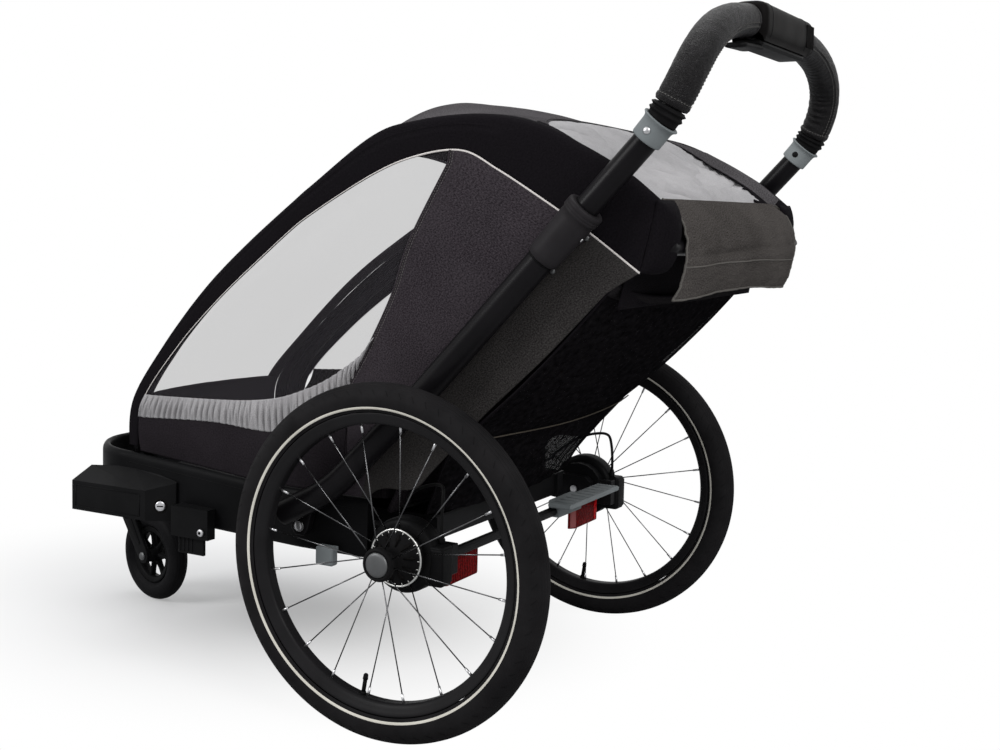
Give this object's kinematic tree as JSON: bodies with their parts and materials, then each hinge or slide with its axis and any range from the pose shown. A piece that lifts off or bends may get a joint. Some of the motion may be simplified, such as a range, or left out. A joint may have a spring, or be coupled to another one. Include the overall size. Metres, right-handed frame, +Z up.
{
  "type": "child bike trailer",
  "caption": "Child bike trailer with push handlebar, front caster, parking brake, sprung rear wheels and a fabric cabin with clear windows.",
  "frame": {"origin": "on the ground, in the middle of the box that holds the whole object", "axes": "+Z up, -Y the way of travel, +X the trailer's left side"},
  "size_m": [0.8034, 1.2435, 1.0312],
  "materials": {
    "tube_black": "satin black",
    "frame_black": "matt powder coat",
    "plastic_dark": "fine grain",
    "plastic_grey": "matt",
    "steel": "plated",
    "alloy_silver": "satin",
    "rubber": "matt",
    "tyre": "matt with fine ribs",
    "rim_black": "satin black",
    "reflector_red": "clear red over a prism pattern",
    "grip_leather": "fine grain with a stitched seam",
    "cloth_charcoal": "woven melange",
    "cloth_black": "stretch knit",
    "cloth_light": "light grey",
    "film_clear": "clear soft film",
    "cloth_mesh": "open mesh",
    "cable_black": "smooth jacket"
  },
  "bodies": {
    "chassis": {"chassis_rim": "plastic_dark", "floor_frame": "frame_black", "floor_pan": "plastic_dark", "suspension_shaft": "steel", "fold_pivot_left": "steel", "fold_pivot_right": "steel", "drawbar_socket": "plastic_dark", "drawbar_clamp": "plastic_dark", "caster_receiver": "frame_black", "seat_cushion": "cloth_charcoal", "seat_back": "cloth_charcoal"},
    "suspension": {"swing_arm_left": "frame_black", "swing_arm_right": "frame_black", "lock_housing_left": "plastic_dark", "lock_housing_right": "plastic_dark", "reflector_left": "reflector_red", "reflector_right": "reflector_red", "axle_pin_left": "steel", "axle_pin_right": "steel", "brake_cable": "cable_black"},
    "wheel_left": {"tyre_left": "tyre", "rim_left": "rim_black", "hub_spokes_left": "rubber"},
    "wheel_right": {"tyre_right": "tyre", "rim_right": "rim_black", "hub_spokes_right": "rubber"},
    "button_left": {"hub_button_left": "alloy_silver"},
    "button_right": {"hub_button_right": "alloy_silver"},
    "brake": {"brake_bar": "frame_black", "brake_pedal": "plastic_dark"},
    "tab_left": {"suspension_tab_left": "plastic_grey"},
    "tab_right": {"suspension_tab_right": "plastic_grey"},
    "caster": {"caster_fork": "plastic_dark", "caster_axle": "steel"},
    "caster_roll": {"caster_wheel": "plastic_dark", "caster_tyre": "rubber"},
    "push_frame": {"push_tube_left": "tube_black", "push_tube_right": "tube_black", "tube_clamp_left": "plastic_dark", "tube_clamp_right": "plastic_dark"},
    "handlebar": {"handlebar_tube": "tube_black", "collar_left": "plastic_grey", "collar_right": "plastic_grey", "stop_ring_left": "rubber", "stop_ring_right": "rubber", "grip_left": "grip_leather", "grip_right": "grip_leather", "console": "plastic_dark"},
    "lever": {"height_lever": "plastic_dark"},
    "hoop": {"hoop_frame": "tube_black", "canopy_bow": "tube_black", "side_cover_left": "cloth_charcoal", "side_cover_right": "cloth_charcoal", "arch_band_left": "cloth_black", "arch_band_right": "cloth_black", "front_cover": "cloth_charcoal", "canopy_roof": "cloth_charcoal", "rear_flap": "cloth_charcoal", "mesh_bag": "cloth_mesh"},
    "socket_button": {"drawbar_button": "alloy_silver"}
  },
  "joints": [
    {"name": "suspension", "type": "hinge", "parent": "chassis", "child": "suspension", "pos_m": [0, 0.0044, 0.266], "axis": [1, 0, 0], "range_deg": [0, 4], "stiffness_Nm_per_rad": 300, "springref_deg": -8.59, "deforming": ["brake_cable"]},
    {"name": "wheel_left", "type": "hinge", "parent": "suspension", "child": "wheel_left", "pos_m": [0.3785, 0.1894, 0.25], "axis": [1, 0, 0], "continuous": true},
    {"name": "wheel_right", "type": "hinge", "parent": "suspension", "child": "wheel_right", "pos_m": [-0.3785, 0.1894, 0.25], "axis": [1, 0, 0], "continuous": true},
    {"name": "button_left", "type": "slide", "parent": "suspension", "child": "button_left", "axis": [-1, 0, 0], "range_m": [0, 0.004], "stiffness_N_per_m": 400, "springref_m": -0.005},
    {"name": "button_right", "type": "slide", "parent": "suspension", "child": "button_right", "axis": [1, 0, 0], "range_m": [0, 0.004], "stiffness_N_per_m": 400, "springref_m": -0.005},
    {"name": "brake", "type": "hinge", "parent": "suspension", "child": "brake", "pos_m": [0, 0.2394, 0.2495], "axis": [-1, 0, 0], "range_deg": [0, 25]},
    {"name": "tab_left", "type": "slide", "parent": "chassis", "child": "tab_left", "axis": [0, 1, 0], "range_m": [-0.012, 0.012]},
    {"name": "tab_right", "type": "slide", "parent": "chassis", "child": "tab_right", "axis": [0, 1, 0], "range_m": [-0.012, 0.012]},
    {"name": "caster_swivel", "type": "hinge", "parent": "chassis", "child": "caster", "pos_m": [0, -0.5926, 0], "axis": [0, 0, 1], "continuous": true},
    {"name": "caster_roll", "type": "hinge", "parent": "caster", "child": "caster_roll", "pos_m": [0.01226, -0.5395, 0.0853], "axis": [0.9744, -0.225, 0], "continuous": true},
    {"name": "frame_fold", "type": "hinge", "parent": "chassis", "child": "push_frame", "pos_m": [0, 0.0044, 0.266], "axis": [-1, 0, 0], "range_deg": [0, 18]},
    {"name": "hoop_fold", "type": "hinge", "parent": "chassis", "child": "hoop", "pos_m": [0, -0.3911, 0.3355], "axis": [-1, 0, 0], "range_deg": [0, 11.6], "deforming": ["side_cover_left", "side_cover_right", "arch_band_left", "arch_band_right", "front_cover", "canopy_roof", "rear_flap", "mesh_bag"]},
    {"name": "handlebar_height", "type": "slide", "parent": "push_frame", "child": "handlebar", "axis": [0, 0.676, 0.7369], "range_m": [-0.095, 0.08]},
    {"name": "height_lever", "type": "slide", "parent": "handlebar", "child": "lever", "axis": [0, 0, 1], "range_m": [0, 0.006], "stiffness_N_per_m": 500, "springref_m": -0.006},
    {"name": "drawbar_button", "type": "slide", "parent": "chassis", "child": "socket_button", "axis": [-0.853, -0.5218, 0], "range_m": [0, 0.003], "stiffness_N_per_m": 400, "springref_m": -0.004}
  ],
  "couplings": [
    {"joint": "hoop_fold", "follows": "frame_fold", "ratio": 0.64}
  ]
}
